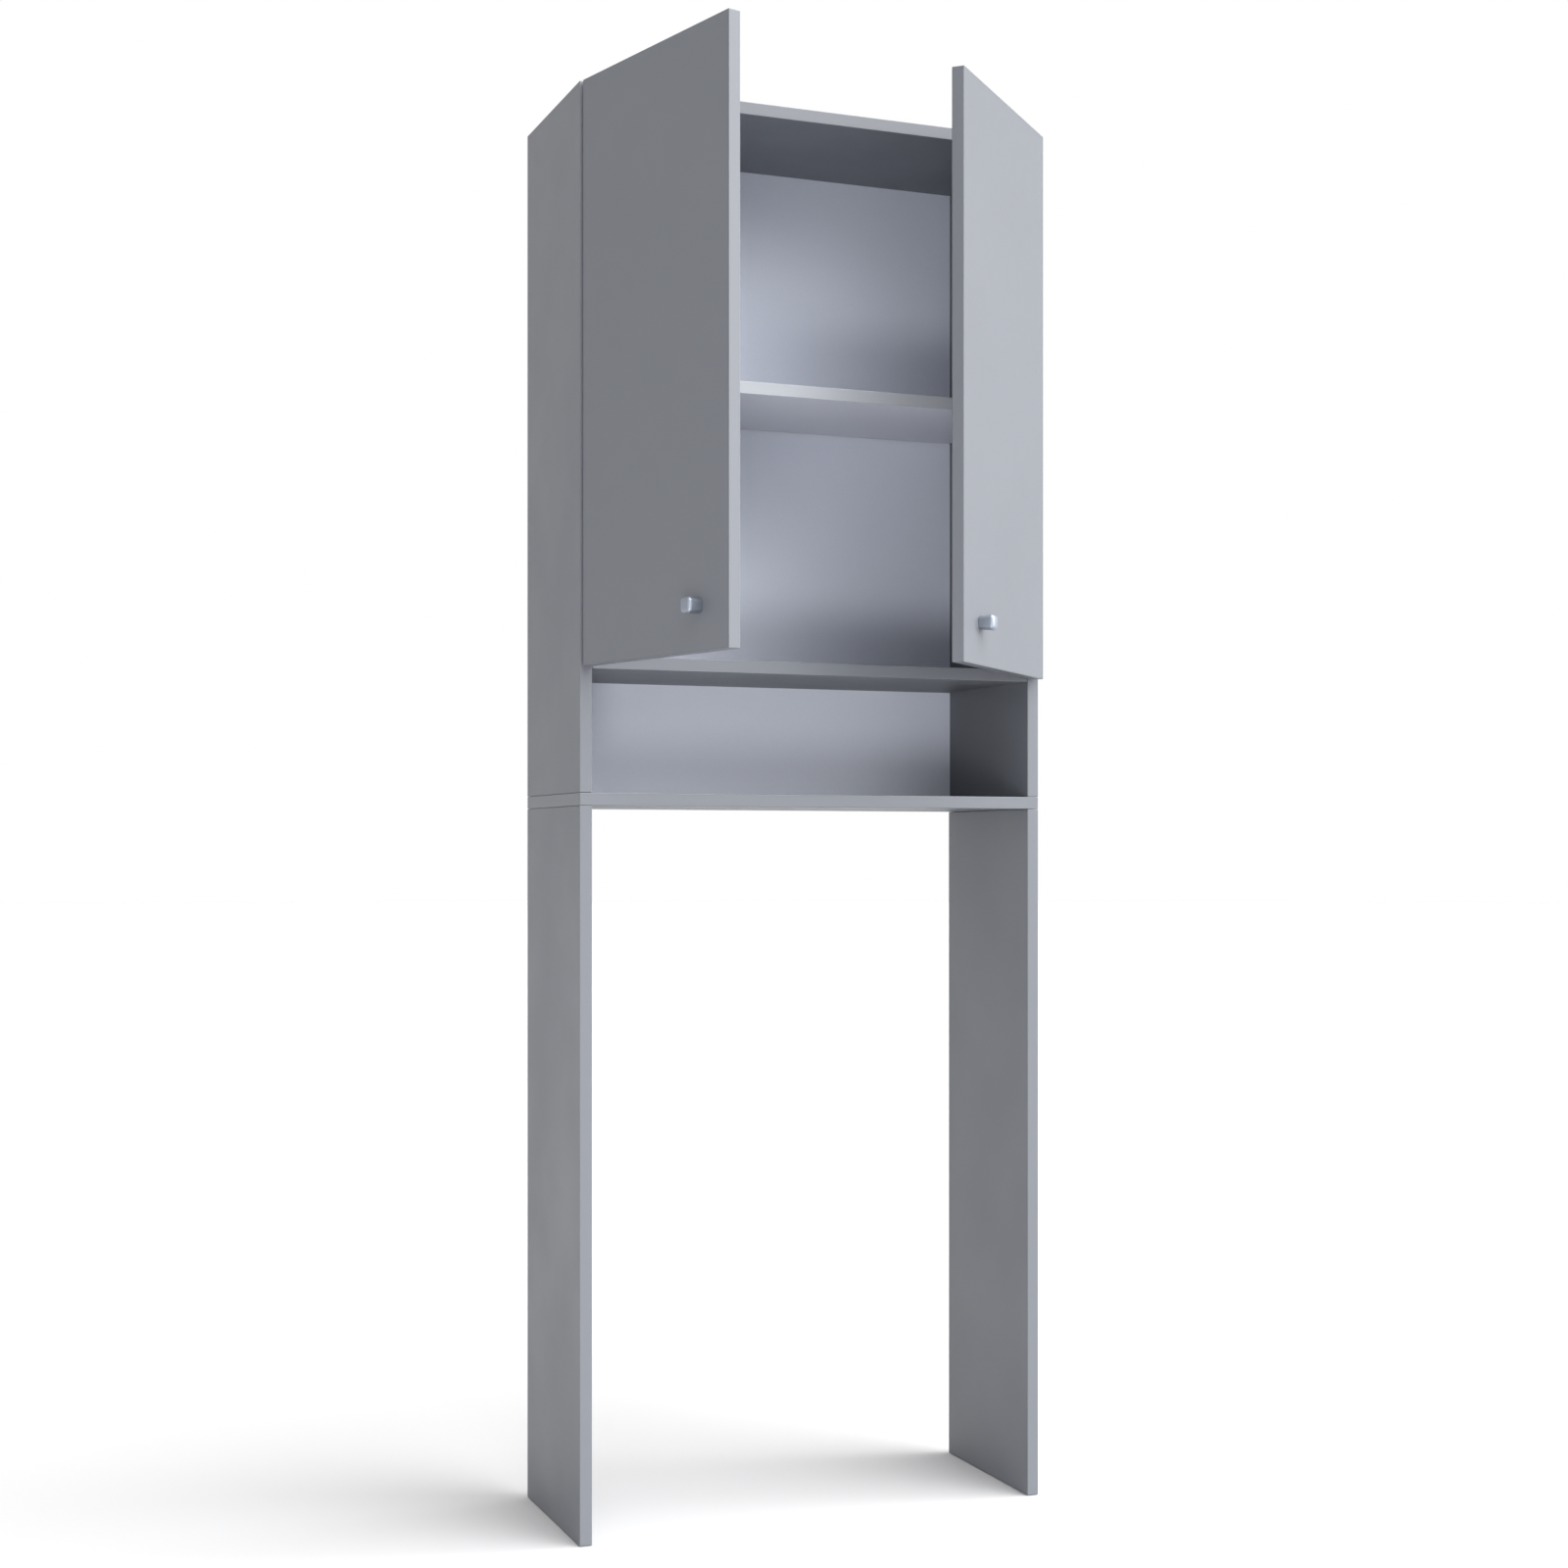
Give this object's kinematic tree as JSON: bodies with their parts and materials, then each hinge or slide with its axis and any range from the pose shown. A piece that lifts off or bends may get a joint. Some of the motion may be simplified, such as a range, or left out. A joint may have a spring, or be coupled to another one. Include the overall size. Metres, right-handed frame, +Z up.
{
  "type": "washing machine cabinet",
  "caption": "Tall narrow cabinet that straddles a washing machine, with an open niche above it and a shelved compartment behind two doors on concealed hinges.",
  "frame": {"origin": "on the floor, on the middle plane of the cabinet's width, half way between the back of the boards and the free edge of the left door as it stands open", "axes": "+X to the right as seen from the front, +Y from the doors to the back, +Z up"},
  "size_m": [0.6413, 0.5622, 1.827],
  "materials": {
    "grey_board": "grey melamine-faced board, satin",
    "white_board": "white melamine-faced board, satin",
    "white_back": "white lacquered hardboard, satin",
    "satin_chrome": "satin chrome plate",
    "nickel_steel": "nickel-plated pressed steel, bright",
    "zinc_steel": "zinc-plated steel, semi-bright"
  },
  "bodies": {
    "cabinet": {"left_lower_side": "grey_board", "right_lower_side": "grey_board", "base_board": "grey_board", "fixed_shelf": "grey_board", "top_board": "grey_board", "left_upper_side": "grey_board", "right_upper_side": "grey_board", "loose_shelf": "white_board", "back_panel": "white_back", "left_front_shelf_pin": "nickel_steel", "left_rear_shelf_pin": "nickel_steel", "left_lower_hinge_mounting_plate": "zinc_steel", "left_lower_hinge_arm": "nickel_steel", "left_lower_hinge_rear_arm_pin": "zinc_steel", "left_lower_hinge_front_arm_pin": "zinc_steel", "left_upper_hinge_mounting_plate": "zinc_steel", "left_upper_hinge_arm": "nickel_steel", "left_upper_hinge_rear_arm_pin": "zinc_steel", "left_upper_hinge_front_arm_pin": "zinc_steel", "right_front_shelf_pin": "nickel_steel", "right_rear_shelf_pin": "nickel_steel", "right_lower_hinge_mounting_plate": "zinc_steel", "right_lower_hinge_arm": "nickel_steel", "right_lower_hinge_rear_arm_pin": "zinc_steel", "right_lower_hinge_front_arm_pin": "zinc_steel", "right_upper_hinge_mounting_plate": "zinc_steel", "right_upper_hinge_arm": "nickel_steel", "right_upper_hinge_rear_arm_pin": "zinc_steel", "right_upper_hinge_front_arm_pin": "zinc_steel"},
    "left_outer_links": {"left_lower_hinge_outer_link": "nickel_steel", "left_upper_hinge_outer_link": "nickel_steel"},
    "left_door": {"left_door": "grey_board", "left_door_knob": "satin_chrome", "left_knob_screw": "zinc_steel", "left_lower_hinge_cup": "nickel_steel", "left_lower_hinge_cup_pin": "zinc_steel", "left_upper_hinge_cup": "nickel_steel", "left_upper_hinge_cup_pin": "zinc_steel"},
    "left_inner_links": {"left_lower_hinge_inner_link": "nickel_steel", "left_upper_hinge_inner_link": "nickel_steel"},
    "right_outer_links": {"right_lower_hinge_outer_link": "nickel_steel", "right_upper_hinge_outer_link": "nickel_steel"},
    "right_door": {"right_door": "grey_board", "right_door_knob": "satin_chrome", "right_knob_screw": "zinc_steel", "right_lower_hinge_cup": "nickel_steel", "right_lower_hinge_cup_pin": "zinc_steel", "right_upper_hinge_cup": "nickel_steel", "right_upper_hinge_cup_pin": "zinc_steel"},
    "right_inner_links": {"right_lower_hinge_inner_link": "nickel_steel", "right_upper_hinge_inner_link": "nickel_steel"}
  },
  "joints": [
    {"name": "left_outer_link_turn", "type": "hinge", "parent": "cabinet", "child": "left_outer_links", "pos_m": [-0.2831, 0.03834, 1.46225], "axis": [0, 0, -1], "range_deg": [-5, 18.75]},
    {"name": "left_door_swing", "type": "hinge", "parent": "left_outer_links", "child": "left_door", "pos_m": [-0.30239, 0.01585, 1.46225], "axis": [0, 0, -1], "range_deg": [-93.75, 25]},
    {"name": "left_inner_link_turn", "type": "hinge", "parent": "left_door", "child": "left_inner_links", "pos_m": [-0.30583, 0.01399, 1.46225], "axis": [0, 0, -1], "range_deg": [-23, 86.25]},
    {"name": "right_outer_link_turn", "type": "hinge", "parent": "cabinet", "child": "right_outer_links", "pos_m": [0.2831, 0.03834, 1.46225], "axis": [0, 0, 1], "range_deg": [-12.5, 11.25]},
    {"name": "right_door_swing", "type": "hinge", "parent": "right_outer_links", "child": "right_door", "pos_m": [0.30516, 0.01856, 1.46225], "axis": [0, 0, 1], "range_deg": [-56.25, 62.5]},
    {"name": "right_inner_link_turn", "type": "hinge", "parent": "right_door", "child": "right_inner_links", "pos_m": [0.30721, 0.01523, 1.46225], "axis": [0, 0, 1], "range_deg": [-57.5, 51.75]}
  ],
  "couplings": [
    {"joint": "left_outer_link_turn", "follows": "left_door_swing", "ratio": -0.2},
    {"joint": "left_inner_link_turn", "follows": "left_door_swing", "ratio": -0.92},
    {"joint": "right_outer_link_turn", "follows": "right_door_swing", "ratio": -0.2},
    {"joint": "right_inner_link_turn", "follows": "right_door_swing", "ratio": -0.92}
  ]
}
